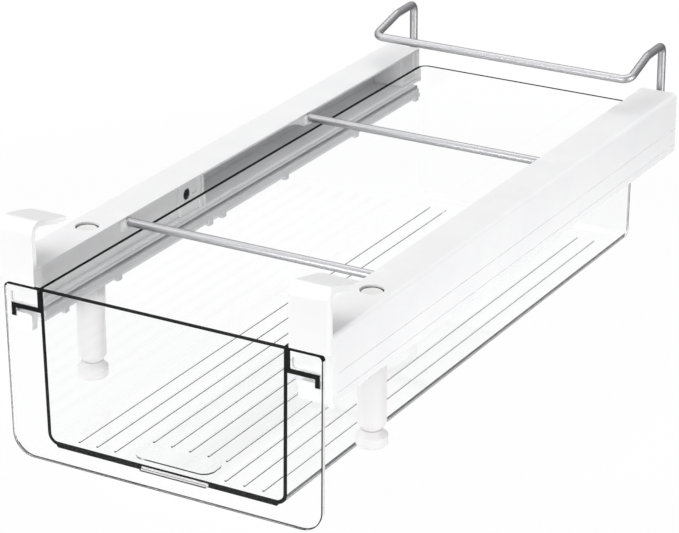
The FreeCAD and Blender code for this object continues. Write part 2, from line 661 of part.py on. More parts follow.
notch_outer = ear_reach + running_gap
notch_inner = ear_reach - flange - running_gap
block_inner = rail_inner + block_inset
plate = prism("end_plate_outline", "XZ", [
    (rail_inner, 0), (rail_half_span, 0), (rail_half_span, rail_bottom - skirt_drop),
    (wall_inner, rail_bottom - skirt_drop), (wall_inner, rail_bottom),
    (block_inner, rail_bottom), (block_inner, -block_drop), (notch_inner, -block_drop),
    (notch_inner, flange_bottom - ear_lip - running_gap),
    (notch_outer, flange_bottom - ear_lip - running_gap),
    (notch_outer, flange_top + running_gap), (rail_inner, flange_top + running_gap),
], 0, end_plate)
rounded(plate, rail_round, (ALONG_Y, dict(x=rail_half_span, z=0)))
rounded(
    plate, block_round,
    (ALONG_Y, dict(x=block_inner, z=rail_bottom)), (ALONG_Y, dict(x=block_inner, z=-block_drop)),
)
window_low = flange_top + running_gap + window_edge
window = prism("window", "XZ", [
    (rail_inner + window_edge, window_low), (notch_outer, window_low),
    (notch_outer, -window_top), (rail_inner + window_edge, -window_top),
], -window_depth, window_depth)
rounded(
    window, window_round,
    (ALONG_Y, dict(x=rail_inner + window_edge)), (ALONG_Y, dict(x=notch_outer)),
)
arm_rise = (seat_bottom, seat_top)
tab_start = screw_place - tab_front
bracket_pieces = [
    hook_trimmed, plate,
    box("arm", (arm_inner, arm_inner + arm_thickness), (end_plate / 2, tab_start + tab_lap), arm_rise),
    box("tab", (tab_inner, tab_outer), (tab_start, arm_length), arm_rise),
]
for name, rear in (("front_rib", arm_length - tab_rib_pitch), ("rear_rib", arm_length)):
    across = (rail_inner + rib_inset, seat_outer)
    bracket_pieces.append(box(name, across, (rear - tab_rib, rear), arm_rise))
screw_hole_start = (tab_inner, screw_place, -screw_drop)
clip_room_side = (rail_inner, rail_inner + clip_reach)
clip_room_run = (front_rod_place - clip_half - seat_gap, front_rod_place + clip_half + seat_gap)
bracket_cuts = [
    window,
    box("clip_room", clip_room_side, clip_room_run, (-clip_height - seat_gap, 0)),
    rod("head_recess", screw_head_radius + recess_gap, screw_hole_start, screw_recess, ALONG_X),
    rod("screw_hole", screw_radius + fit_gap, screw_hole_start, tab_thickness, ALONG_X),
]
for name, beyond in (("near_dimple", dimple_place), ("far_dimple", dimple_place + dimple_pitch)):
    dimple_start = (tab_inner, screw_place + beyond, -dimple_drop)
    bracket_cuts.append(rod(name, dimple_radius, dimple_start, dimple_depth, ALONG_X))
finish_pair("front_bracket", cut("bracket_body", fuse("bracket_whole", bracket_pieces), bracket_cuts))

head_start = (head_seat - screw_head, screw_place, -screw_drop)
head = rod("screw_head_disc", screw_head_radius, head_start, screw_head, ALONG_X)
shank = rod(
    "screw_shank", screw_radius, (head_seat - screw_head / 2, screw_place, -screw_drop),
    screw_length + screw_head / 2, ALONG_X,
)
slots = []
for name, wide, high in (
    ("slot_across", screw_radius, cross_slot / 2), ("slot_upright", cross_slot / 2, screw_radius),
):
    depth = (head_start[0] - cross_slot, head_start[0] + cross_slot)
    run = (screw_place - wide, screw_place + wide)
    slots.append(box(name, depth, run, (-screw_drop - high, high - screw_drop)))
finish_pair("bracket_screw", cut("screw_body", fuse("screw_whole", [head, shank]), slots))


# Drawer: bin shell, flanges with ears and lugs, floor ribs, thumb pad; front panel



def tub(name, inset, front, rear, floor, corner):
    """The outside or the inside of the bin as a solid block with rounded bottom and rear."""
    block = prism(name, "XZ", [
        (inset - bin_half_bottom, floor), (bin_half_bottom - inset, floor),
        (bin_half_top - inset, bin_rim), (inset - bin_half_top, bin_rim),
    ], front, rear)
    below, behind = dict(z=floor), dict(y=rear)
    return rounded(
        block, corner, (ALONG_Y, below), (ALONG_X, dict(y=rear, z=floor)), (ALONG_Z, behind),
    )


outside = tub("shell", Size(0), drawer_front, bin_rear, bin_floor, bin_round)
inside = tub(
    "shell_room", bin_wall, drawer_front, bin_rear - bin_wall, floor_top, bin_round - bin_wall,
)
shell = cut("shell_hollow", outside, [inside])

flange_inner = bin_half_top - bin_wall / 2
flange_rise = (flange_bottom, flange_top)
ear_run = (drawer_front, drawer_front + ear_length)
flange_pieces = [
    box("flange_strip", (flange_inner, flange_reach), (drawer_front, flange_rear), flange_rise),
    box("ear", (flange_inner, ear_reach), ear_run, flange_rise),
    box("ear_edge", (ear_reach - flange, ear_reach), ear_run, (flange_bottom - ear_lip, flange_top)),
    box(
        "ear_post", (flange_inner, bin_half_top + ear_post),
        (drawer_front, drawer_front + ear_post_depth), (flange_bottom, -ear_post_drop),
    ),
    box("lug", (flange_inner, lug_reach), (lug_front, flange_rear), flange_rise),
]
right_flange = fuse("right_flange", flange_pieces)
bead_half = bin_half_bottom - bin_round + bead_height
bead_low, bead_high = bin_floor - bead_height, bin_floor + bin_wall / 2
bead = prism("bead", "XZ", [
    (-bead_half, bead_low), (bead_half, bead_low), (bead_half, bead_high), (-bead_half, bead_high),
], drawer_front, drawer_front + bead_depth)
rounded(bead, bead_height, (ALONG_Y, dict(z=bead_low)))
bin_pieces = [shell, right_flange, mirrored("left_flange", right_flange), bead]
thumb_front = drawer_front + rib_start
thumb_rear = thumb_front + thumb_depth
raised = (floor_top - floor_rib_height, floor_top + floor_rib_height)
rib_count = round(floor_ribs.number)
for number in range(rib_count):
    across = number - (rib_count - 1) / 2
    middle = rib_pitch * across
    beside_thumb = abs(middle.number) < (thumb_half_width + thumb_gap).number
    start = thumb_rear + thumb_gap if beside_thumb else drawer_front + rib_start
    sides = (middle - floor_rib / 2, middle + floor_rib / 2)
    bin_pieces.append(box(f"floor_rib_{number + 1}", sides, (start, bin_rear - rib_rear_gap), raised))
thumb = prism("thumb_pad", "XY", [
    (-thumb_half_width, thumb_front), (thumb_half_width, thumb_front),
    (thumb_half_width, thumb_rear), (-thumb_half_width, thumb_rear),
], *raised)
rounded(thumb, thumb_round, (ALONG_Z, dict()))
finish("drawer_bin", fuse("bin_body", bin_pieces + [thumb]))

panel = prism("panel", "XZ", [
    (-panel_half_bottom, panel_low), (panel_half_bottom, panel_low),
    (panel_half_top, bin_rim), (-panel_half_top, bin_rim),
], panel_front, drawer_front)
rounded(panel, panel_corner, (ALONG_Y, dict(z=panel_low)))
rounded(panel, panel_top_corner, (ALONG_Y, dict(z=bin_rim)))
slot_low = bead_low + pull_slot_rise
slot_run = (pull_slot_offset - pull_slot_width / 2, pull_slot_offset + pull_slot_width / 2)
pull_slot = box(
    "pull_slot", slot_run, (panel_front, drawer_front), (slot_low, slot_low + pull_slot_height),
)
finish("front_panel", cut("panel_body", panel, [pull_slot]))


# Clamp screws: housing, knob with its ring, screw and pad


def flatted(name, radius, half_flat, low, high):
    """An upright bar with two flats on the clamp's axis."""
    bar = rod(name + "_bar", radius, (clamp_place, clamp_depth, low), high - low)
    sides = (clamp_place - radius, clamp_place + radius)
    flats = (clamp_depth - half_flat, clamp_depth + half_flat)
    return common(name, bar, box(name + "_flats", sides, flats, (low, high)))


lip_bore = shank_radius + fit_gap
sleeve = turned("sleeve", [
    (0, spigot_top), (0, sleeve_ceiling), (sleeve_bore, sleeve_ceiling), (sleeve_bore, lip_top),
    (lip_bore, lip_top), (lip_bore, neck_level), (neck_radius, neck_level),
    (sleeve_radius, sleeve_end), (sleeve_radius, sole_bottom), (spigot_radius, sole_bottom),
    (spigot_radius, spigot_top),
], clamp_place, clamp_depth)
housing_plate_box = box(
    "housing_plate_box", (clamp_place - housing_inner, clamp_place + housing_outer),
    (clamp_depth - housing_front, clamp_depth + housing_rear), (housing_bottom, sole_bottom),
)
sleeve_room = rod(
    "sleeve_room", sleeve_bore, (clamp_place, clamp_depth, lip_top), sleeve_ceiling - lip_top,
)
screw_way = flatted(
    "screw_way", thread_radius + fit_gap, thread_flat + fit_gap, sleeve_ceiling, spigot_top,
)
housing_whole = fuse("housing_whole", [sleeve, housing_plate_box])
finish_pair("clamp_housing", cut("housing_body", housing_whole, [sleeve_room, screw_way]))

screw_bore = thread_radius + fit_gap
knob = turned("knob", [
    (0, knob_bottom), (knob_radius - knob_bevel, knob_bottom),
    (knob_radius, knob_bottom + knob_bevel), (knob_radius, knob_edge),
    (neck_radius, knob_top), (shank_radius, knob_top), (shank_radius, ring_bottom),
    (groove_radius, ring_bottom), (groove_radius, ring_top), (shank_radius, ring_top),
    (shank_radius, shank_top), (screw_bore, shank_top), (screw_bore, bore_bottom),
    (0, bore_bottom),
], clamp_place, clamp_depth)
finish_pair("clamp_knob", knob)
finish_pair("knob_ring", turned("ring", [
    (groove_radius, ring_bottom), (ring_radius, ring_bottom),
    (ring_radius, ring_top), (groove_radius, ring_top),
], clamp_place, clamp_depth))
finish_pair("clamp_screw", flatted("screw_bar", thread_radius, thread_flat, screw_bottom, screw_top))
finish_pair("pressure_pad", turned("pad", [
    (0, screw_top), (0, clamp_top), (pad_radius, clamp_top), (pad_radius, pad_bottom),
    (screw_bore, pad_bottom), (screw_bore, screw_top),
], clamp_place, clamp_depth))


# Rear caps with their boxes, the wire bail, its collars and springs

box_run = (box_front, guide_front)
box_rise = (seat_bottom, seat_top)
box_inner = rail_inner + box_inset
strip_inner = seat_outer - box_rib
cover_side = (rail_inner + cover_inset, rail_inner + cover_inset + cover)
cap_plate = prism("cap_plate", "XZ", [
    (rail_inner, web_bottom), (wall_inner, web_bottom), (wall_inner, rail_bottom),
    (rail_half_span, rail_bottom), (rail_half_span, 0), (rail_inner, 0),
], rail_rear, cap_rear)
rounded(cap_plate, rail_round, (ALONG_Y, dict(x=rail_half_span, z=0)))
cap_pieces = [
    cap_plate,
    box("guide_block", (box_inner, seat_outer), (guide_front, rail_rear), box_rise),
    box("box_strip", (strip_inner, seat_outer), box_run, box_rise),
    box("box_floor", (box_inner, seat_outer), box_run, (seat_bottom, seat_bottom + box_rib)),
    box("box_rib_plate", (box_inner, seat_outer), (box_front, box_front + box_rib), box_rise),
    box("box_cover", cover_side, (box_front, rail_rear), box_rise),
]
guide_bore = rod(
    "guide_bore", rod_radius + fit_gap, (bail_place, guide_front, -bail_drop),
    cap_rear - guide_front, ALONG_Y,
)
finish_pair("rear_cap", cut("cap_body", fuse("cap_whole", cap_pieces), [guide_bore]))

arm_level = -bail_drop.number
leg_place = bail_leg.number
side_points = [
    Vector(bail_place.number, arm_end.number, arm_level),
    Vector(bail_place.number, leg_place, arm_level),
    Vector(bail_place.number, leg_place, leg_height.number),
    Vector(bail_place.number, leg_place - shoulder_reach.number,
           (leg_height - shoulder_fall).number),
    Vector((bail_place + bar_spread).number, leg_place - bar_reach.number, bar_height.number),
]
far_points = [Vector(-p.x, p.y, p.z) for p in reversed(side_points)]
side_bends = [low_bend.number, leg_bend.number, shoulder_bend.number, bar_bend.number]
wire_path = bent_wire(side_points + far_points, side_bends + side_bends[::-1])
finish("rear_bail", swept("bail_wire", wire_path, rod_radius.number, side_points[0], ALONG_Y))

collar_start = (bail_place, collar_front, -bail_drop)
collar = rod("collar_disc", collar_radius, collar_start, collar_length, ALONG_Y)
collar_bore = rod("collar_bore", rod_radius + fit_gap, collar_start, collar_length, ALONG_Y)
finish_pair("bail_collar", cut("collar_body", collar, [collar_bore]))

seat_clear = spring_wire + spring_gap
spring_length = guide_front - collar_rear - seat_clear * 2
pitch = spring_length / spring_turns
coil = Part.makeHelix(pitch.number, spring_length.number, spring_radius.number)
coil.rotate(Vector(), ALONG_X, -90)
coil.translate(Vector(bail_place.number, (collar_rear + seat_clear).number, arm_level))
coil_start = coil.Vertexes[0].Point
coil_edge = coil.Edges[0]
coil_heading = coil_edge.tangentAt(coil_edge.FirstParameter)
finish_pair("bail_spring", swept(
    "coil_wire", Part.Wire(coil.Edges), spring_wire.number, coil_start, coil_heading, True,
))


# Build, check and write every piece

doc.recompute()
faults = [thing.Label for thing in doc.Objects if {"Invalid", "Error"} & set(thing.State)]
for label, thing in parts.items():
    shape = thing.Shape
    if shape.isNull() or not shape.isValid() or len(shape.Solids) != 1:
        faults.append(label)
if faults:
    raise RuntimeError("faulty pieces: " + ", ".join(faults))

os.makedirs("parts", exist_ok=True)
for label, thing in parts.items():
    thing.Shape.exportStep(f"parts/{label}.step")
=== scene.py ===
import math

import bmesh
import bpy
from mathutils import Matrix, Vector


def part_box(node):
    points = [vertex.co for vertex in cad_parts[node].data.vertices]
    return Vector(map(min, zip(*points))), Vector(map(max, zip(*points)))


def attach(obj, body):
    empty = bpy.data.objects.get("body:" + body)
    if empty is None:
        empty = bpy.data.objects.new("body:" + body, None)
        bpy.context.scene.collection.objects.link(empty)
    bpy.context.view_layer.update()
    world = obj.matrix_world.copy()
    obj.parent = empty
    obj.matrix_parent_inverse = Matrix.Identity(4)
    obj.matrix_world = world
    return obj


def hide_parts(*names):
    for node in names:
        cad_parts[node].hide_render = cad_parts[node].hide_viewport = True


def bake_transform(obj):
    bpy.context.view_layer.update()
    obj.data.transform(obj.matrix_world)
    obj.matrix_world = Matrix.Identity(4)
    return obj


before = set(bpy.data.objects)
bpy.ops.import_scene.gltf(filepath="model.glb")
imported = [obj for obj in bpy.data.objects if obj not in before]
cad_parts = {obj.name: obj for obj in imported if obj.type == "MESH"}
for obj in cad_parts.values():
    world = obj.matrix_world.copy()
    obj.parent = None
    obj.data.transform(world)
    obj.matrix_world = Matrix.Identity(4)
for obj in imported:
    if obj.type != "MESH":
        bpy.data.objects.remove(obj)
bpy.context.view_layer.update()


# Rails: two white ABS channels, extruded and cut to length, then punched for the pads and the
# rod clips. Their edges are a little rounded by the die and their skin has a fine satin grain.

sides = ("left", "right")
touching = 2e-6
flat_angle = math.radians(0.5)
sharp_angle = math.radians(38)
rail_edge = 0.0005


def new_piece(name, shape, *materials):
    """A piece with that shape and those materials, smooth between its sharp edges."""
    mesh = bpy.data.meshes.new(name)
    shape.to_mesh(mesh)
    shape.free()
    mesh.shade_smooth()
    mesh.set_sharp_from_angle(angle=sharp_angle)
    for material in materials:
        mesh.materials.append(material)
    piece = bpy.data.objects.new(name, mesh)
    bpy.context.scene.collection.objects.link(piece)
    return piece


def soften(node, name, width, body, slot, *materials, angle=28, segments=2):
    """A piece with a node's shape, its loose triangles merged and its hard edges rounded."""
    shape = bmesh.new()
    shape.from_mesh(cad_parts[node].data)
    bmesh.ops.remove_doubles(shape, verts=shape.verts, dist=touching)
    bmesh.ops.dissolve_limit(
        shape, angle_limit=flat_angle, verts=shape.verts, edges=shape.edges,
    )
    hard = [
        edge for edge in shape.edges
        if len(edge.link_faces) == 2 and edge.calc_face_angle(0) > math.radians(angle)
    ]
    bmesh.ops.bevel(
        shape, geom=hard, offset=width, offset_type="OFFSET", segments=segments, profile=0.5,
        affect="EDGES", clamp_overlap=True, material=-1,
    )
    piece = new_piece(name, shape, *materials)
    flatten = piece.modifiers.new("flat_faces", "WEIGHTED_NORMAL")
    flatten.mode = "FACE_AREA"
    flatten.weight = 100
    flatten.keep_sharp = True
    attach(piece, body)
    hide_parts(node)
    return piece


def moulded_skin():
    """Node group: the fine grain and the faint unevenness of tone and gloss of a moulding."""
    group = bpy.data.node_groups.new("moulded_skin", "ShaderNodeTree")
    inputs = (
        ("Vector", "NodeSocketVector"), ("Grain", "NodeSocketFloat"),
        ("Depth", "NodeSocketFloat"), ("Roughness", "NodeSocketFloat"),
        ("Tone", "NodeSocketColor"), ("Shade", "NodeSocketColor"),
    )
    outputs = (
        ("Color", "NodeSocketColor"), ("Roughness", "NodeSocketFloat"),
        ("Normal", "NodeSocketVector"),
    )
    for sockets, in_out in ((inputs, "INPUT"), (outputs, "OUTPUT")):
        for name, kind in sockets:
            group.interface.new_socket(name=name, in_out=in_out, socket_type=kind)
    add, join = group.nodes.new, group.links.new
    source, result = add("NodeGroupInput"), add("NodeGroupOutput")
    cloud = add("ShaderNodeTexNoise")
    cloud.inputs["Scale"].default_value = 38.0
    cloud.inputs["Detail"].default_value = 3.0
    join(source.outputs["Vector"], cloud.inputs["Vector"])
    grain = add("ShaderNodeTexNoise")
    grain.inputs["Detail"].default_value = 2.0
    join(source.outputs["Vector"], grain.inputs["Vector"])
    join(source.outputs["Grain"], grain.inputs["Scale"])
    tint = add("ShaderNodeMix")
    tint.data_type = "RGBA"
    soft = add("ShaderNodeMapRange")
    soft.inputs["From Min"].default_value = 0.38
    soft.inputs["From Max"].default_value = 0.72
    join(cloud.outputs["Fac"], soft.inputs["Value"])
    join(soft.outputs["Result"], tint.inputs["Factor"])
    join(source.outputs["Tone"], tint.inputs["A"])
    join(source.outputs["Shade"], tint.inputs["B"])
    join(tint.outputs["Result"], result.inputs["Color"])
    unevenness = 0.08
    spread = add("ShaderNodeMath")
    spread.operation = "MULTIPLY_ADD"
    spread.inputs[1].default_value = unevenness
    join(cloud.outputs["Fac"], spread.inputs[0])
    join(source.outputs["Roughness"], spread.inputs[2])
    join(spread.outputs["Value"], result.inputs["Roughness"])
    bump = add("ShaderNodeBump")
    bump.inputs["Distance"].default_value = 0.00004
    join(source.outputs["Depth"], bump.inputs["Strength"])
    join(grain.outputs["Fac"], bump.inputs["Height"])
    join(bump.outputs["Normal"], result.inputs["Normal"])
    return group


skin_group = moulded_skin()


def plastic(name, tone, shade, roughness, grain, depth, ior=1.5):
    """A moulded plastic: its two near tones, its gloss and its skin."""
    material = bpy.data.materials.new(name)
    material.use_nodes = True
    tree = material.node_tree
    shader = tree.nodes["Principled BSDF"]
    skin = tree.nodes.new("ShaderNodeGroup")
    skin.node_tree = skin_group
    place = tree.nodes.new("ShaderNodeTexCoord")
    tree.links.new(place.outputs["Object"], skin.inputs["Vector"])
    skin.inputs["Tone"].default_value = (*tone, 1)
    skin.inputs["Shade"].default_value = (*shade, 1)
    skin.inputs["Roughness"].default_value = roughness
    skin.inputs["Grain"].default_value = grain
    skin.inputs["Depth"].default_value = depth
    tree.links.new(skin.outputs["Color"], shader.inputs["Base Color"])
    tree.links.new(skin.outputs["Roughness"], shader.inputs["Roughness"])
    tree.links.new(skin.outputs["Normal"], shader.inputs["Normal"])
    shader.inputs["IOR"].default_value = ior
    return material


rail_white = plastic(
    "rail_white_abs", tone=(0.88, 0.88, 0.885), shade=(0.85, 0.85, 0.86), roughness=0.3,
    grain=2600, depth=0.18,
)
for side in sides:
    soften(
        f"{side}_rail", f"{side}_rail_channel", rail_edge, "frame", "white_plastic", rail_white,
    )


# Rod clips: small nylon cradles pressed up into the rails' notches. The cross rods of drawn
# steel stand in them, with turned ends, and keep the rails parallel.

clip_edge = 0.0002
clip_white = plastic(
    "clip_white_nylon", tone=(0.89, 0.89, 0.89), shade=(0.87, 0.87, 0.87), roughness=0.36,
    grain=3400, depth=0.2,
)
for place in ("front", "middle"):
    for side in sides:
        soften(
            f"{side}_{place}_rod_clip", f"{side}_{place}_rod_cradle", clip_edge, "frame",
            "bracket_plastic", clip_white,
        )


def drawn_steel(name, along, tone, shade, roughness):
    """Drawn steel: fine lines along the axis named, or an even grain where none is, with faint
    dull patches and a dimmed sheen at its edges."""
    material = bpy.data.materials.new(name)
    material.use_nodes = True
    tree = material.node_tree
    shader = tree.nodes["Principled BSDF"]
    add, join = tree.nodes.new, tree.links.new
    place, stretch = add("ShaderNodeTexCoord"), add("ShaderNodeMapping")
    line_scale = [0.04 if axis == along else 1.0 for axis in "XYZ"]
    stretch.inputs["Scale"].default_value = line_scale
    lines = add("ShaderNodeTexNoise")
    lines.inputs["Scale"].default_value = 2200.0
    lines.inputs["Detail"].default_value = 4.0
    patches = add("ShaderNodeTexNoise")
    patches.inputs["Scale"].default_value = 60.0
    join(place.outputs["Object"], stretch.inputs["Vector"])
    join(stretch.outputs["Vector"], lines.inputs["Vector"])
    join(place.outputs["Object"], patches.inputs["Vector"])
    tint = add("ShaderNodeMix")
    tint.data_type = "RGBA"
    tint.inputs["A"].default_value = (*shade, 1)
    tint.inputs["B"].default_value = (*tone, 1)
    join(lines.outputs["Fac"], tint.inputs["Factor"])
    join(tint.outputs["Result"], shader.inputs["Base Color"])
    dull = add("ShaderNodeMapRange")
    dull.inputs["To Min"].default_value = roughness - 0.03
    dull.inputs["To Max"].default_value = roughness + 0.05
    join(patches.outputs["Fac"], dull.inputs["Value"])
    join(dull.outputs["Result"], shader.inputs["Roughness"])
    bump = add("ShaderNodeBump")
    bump.inputs["Strength"].default_value = 0.01
    bump.inputs["Distance"].default_value = 0.00002
    join(lines.outputs["Fac"], bump.inputs["Height"])
    join(bump.outputs["Normal"], shader.inputs["Normal"])
    shader.inputs["Specular Tint"].default_value = (0.3, 0.3, 0.3, 1)
    shader.inputs["Metallic"].default_value = 1.0
    return material


turned_end = 0.0003
rod_steel = drawn_steel(
    "rod_steel", along="X", tone=(0.47, 0.47, 0.48), shade=(0.44, 0.44, 0.45), roughness=0.42,
)
for node in ("front_cross_rod", "middle_cross_rod"):
    low, high = (Vector(corner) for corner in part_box(node))
    middle, radius = (low + high) / 2, (high.z - low.z) / 2
    turned = Matrix.Translation(middle) @ Matrix.Rotation(math.radians(90), 4, "Y")
    shape = bmesh.new()
    bmesh.ops.create_cone(
        shape, cap_ends=True, segments=48, radius1=radius, radius2=radius,
        depth=high.x - low.x, matrix=turned,
    )
    ends = [edge for edge in shape.edges if edge.calc_face_angle(0) > math.radians(60)]
    bmesh.ops.bevel(
        shape, geom=ends, offset=turned_end, segments=3, profile=0.5, affect="EDGES",
        material=-1,
    )
    bar = new_piece(f"{node}_bar", shape, rod_steel)
    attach(bar, "frame")
    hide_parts(node)


# Runners: ledges of light grey acetal, snapped under the rails by their tabs. The drawer's
# flanges ride on them and its lugs stop at their blocks.

runner_edge = 0.0002
runner_grey = plastic(
    "runner_acetal", tone=(0.72, 0.73, 0.75), shade=(0.68, 0.69, 0.71), roughness=0.34,
    grain=3000, depth=0.15,
)
for side in sides:
    soften(
        f"{side}_runner", f"{side}_runner_ledge", runner_edge, "frame", "runner_plastic",
        runner_grey,
    )


# Front brackets: smooth moulded ABS hooks with sprung lips, an end plate that closes the rail
# and an arm inside it, held by one screw with a cross in its blackened head.

bracket_edge = 0.0005
arm_screw_edge = 0.00015
bracket_white = plastic(
    "bracket_white_abs", tone=(0.89, 0.89, 0.89), shade=(0.87, 0.87, 0.875), roughness=0.26,
    grain=3600, depth=0.08, ior=1.35,
)
screw_black = drawn_steel(
    "blackened_screw", along="X", tone=(0.09, 0.09, 0.1), shade=(0.05, 0.05, 0.055),
    roughness=0.3,
)
for side in sides:
    soften(
        f"{side}_front_bracket", f"{side}_hook_bracket", bracket_edge, "frame",
        "bracket_plastic", bracket_white, segments=3,
    )
    soften(
        f"{side}_bracket_screw", f"{side}_arm_screw", arm_screw_edge, "frame", "zinc_steel",
        screw_black,
    )


# Rear caps: ABS plugs in the rails' rear ends, each with a box that guides an arm of the bail
# and holds its nylon collar and its wire spring, which the bail squeezes as it is pulled; the
# coil here is a fixed copy of the spring's shape and does not change.

cap_edge = 0.0003
collar_edge = 0.0002
spring_grey = drawn_steel(
    "spring_wire", along="Y", tone=(0.5, 0.5, 0.5), shade=(0.4, 0.4, 0.41), roughness=0.35,
)
for side in sides:
    soften(
        f"{side}_rear_cap", f"{side}_rear_plug", cap_edge, "frame", "bracket_plastic",
        bracket_white,
    )
    soften(
        f"{side}_bail_collar", f"{side}_arm_collar", collar_edge, "bail", "bracket_plastic",
        clip_white,
    )
    node = f"{side}_bail_spring"
    coil = bpy.data.objects.new(f"{side}_spring_coil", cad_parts[node].data.copy())
    bpy.context.scene.collection.objects.link(coil)
    coil.data.materials.clear()
    coil.data.materials.append(spring_grey)
    low, high = (Vector(corner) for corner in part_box(node))
    middle = (low + high) / 2
    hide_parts(node)
    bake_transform(coil)


# Bail: one length of 4.5 mm steel wire, bent up behind the rails, forward over the shelf and
# across, with its two arms sliding in the rear caps. Only its cut ends have hard edges.

wire_edge = 0.0003
bail_steel = drawn_steel(
    "bail_steel", along="", tone=(0.50, 0.50, 0.51), shade=(0.48, 0.48, 0.49), roughness=0.42,
)
soften("rear_bail", "rear_bail_wire", wire_edge, "bail", "rod_steel", bail_steel, angle=50)


# Clamps: an ABS sleeve under each rail with a turning foot in it. Turning the foot drives a
# flatted screw up through the rail and presses the soft pad on its top against the shelf.

sleeve_edge = 0.0003
foot_edge = 0.0006
ring_edge = 0.0001
spindle_edge = 0.0002
pad_edge = 0.0005
sleeve_white = plastic(
    "sleeve_white_abs", tone=(0.74, 0.73, 0.73), shade=(0.72, 0.71, 0.71), roughness=0.28,
    grain=3600, depth=0.1,
)
pad_grey = plastic(
    "pad_soft_rubber", tone=(0.80, 0.80, 0.79), shade=(0.74, 0.74, 0.73), roughness=0.6,
    grain=2200, depth=0.35,
)
zinc_plate = drawn_steel(
    "zinc_plate", along="X", tone=(0.72, 0.73, 0.75), shade=(0.6, 0.61, 0.63), roughness=0.32,
)
for side in sides:
    soften(
        f"{side}_clamp_housing", f"{side}_clamp_sleeve", sleeve_edge, "frame",
        "bracket_plastic", sleeve_white,
    )
    soften(
        f"{side}_clamp_knob", f"{side}_clamp_foot", foot_edge, f"{side}_knob",
        "bracket_plastic", sleeve_white, segments=3,
    )
    soften(
        f"{side}_knob_ring", f"{side}_foot_ring", ring_edge, f"{side}_knob", "zinc_steel",
        zinc_plate,
    )
    soften(
        f"{side}_clamp_screw", f"{side}_clamp_spindle", spindle_edge, f"{side}_lift",
        "zinc_steel", zinc_plate,
    )
    soften(
        f"{side}_pressure_pad", f"{side}_soft_pad", pad_edge, f"{side}_lift", "pad_rubber",
        pad_grey, segments=3,
    )


# Drawer: a clear PET bin with frosted flanges along its sides and ribs across its floor. Its
# front edge is glued to the clear front panel. Its front edge, the front of its rim and its
# right-hand floor and rear bends are painted near black, and the rear of its rim grey: painted
# shade where the clear wall is seen edge-on.

bin_edge = 0.0003
glued_depth = 0.0002
rim_depth = 0.0004
rear_rim = 0.01
floor_corner = 0.006
flange_start = 0.0672
rear_corner = 0.02


def clear_plastic(name, tone, roughness, transmission=1.0, specular=0.5):
    """A clear plastic with the faint ripple and haze of a moulded wall."""
    material = bpy.data.materials.new(name)
    material.use_nodes = True
    tree = material.node_tree
    shader = tree.nodes["Principled BSDF"]
    add, join = tree.nodes.new, tree.links.new
    place, ripple = add("ShaderNodeTexCoord"), add("ShaderNodeTexNoise")
    ripple.inputs["Scale"].default_value = 26.0
    ripple.inputs["Detail"].default_value = 1.0
    join(place.outputs["Object"], ripple.inputs["Vector"])
    bump = add("ShaderNodeBump")
    bump.inputs["Strength"].default_value = 0.06
    bump.inputs["Distance"].default_value = 0.0006
    join(ripple.outputs["Fac"], bump.inputs["Height"])
    join(bump.outputs["Normal"], shader.inputs["Normal"])
    haze = add("ShaderNodeMapRange")
    haze.inputs["To Min"].default_value = roughness
    haze.inputs["To Max"].default_value = roughness + 0.02
    join(ripple.outputs["Fac"], haze.inputs["Value"])
    join(haze.outputs["Result"], shader.inputs["Roughness"])
    shader.inputs["Base Color"].default_value = (*tone, 1)
    shader.inputs["Transmission Weight"].default_value = transmission
    shader.inputs["Specular IOR Level"].default_value = specular
    shader.inputs["IOR"].default_value = 1.3
    return material


clear_wall = clear_plastic("clear_pet", tone=(0.995, 0.997, 0.997), roughness=0.0)
# The rear rim's grey tint is painted shade where the rim is seen edge-on.
rim_painted_shade = clear_plastic("clear_pet_rim_painted_shade", tone=(0.30, 0.31, 0.32), roughness=0.04)
# This near-black tint is painted shade on the bin's right-hand bends and the panel's edges.
edge_painted_shade = clear_plastic(
    "clear_pet_edge_painted_shade", tone=(0.02, 0.021, 0.023), roughness=0.25, transmission=0.5,
    specular=0.15,
)
# This near-black is painted shade along the bin's front edge and rim and the panel's top and
# front.
dark_edge_painted_shade = clear_plastic(
    "dark_edge_painted_shade", tone=(0.006, 0.0065, 0.007), roughness=0.45, transmission=0.1, specular=0.1,
)
# This pale finish is frosted on the flanges and painted light on the panel's right-hand edges.
frosted_and_painted_light = clear_plastic(
    "clear_pet_frosted_and_painted_light", tone=(0.9, 0.9, 0.9), roughness=0.45, transmission=0.35,
)
bin_low, bin_high = (Vector(corner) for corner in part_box("drawer_bin"))
bin_piece = soften(
    "drawer_bin", "drawer_tub", bin_edge, "drawer", "clear_plastic",
    clear_wall, rim_painted_shade, dark_edge_painted_shade, edge_painted_shade, frosted_and_painted_light,
)


def colour_faces(piece, choose):
    """Give each face of a piece the one of its materials that choose picks for it."""
    finishes = list(piece.data.materials)
    for face in piece.data.polygons:
        face.material_index = finishes.index(choose(face.center, face.normal))


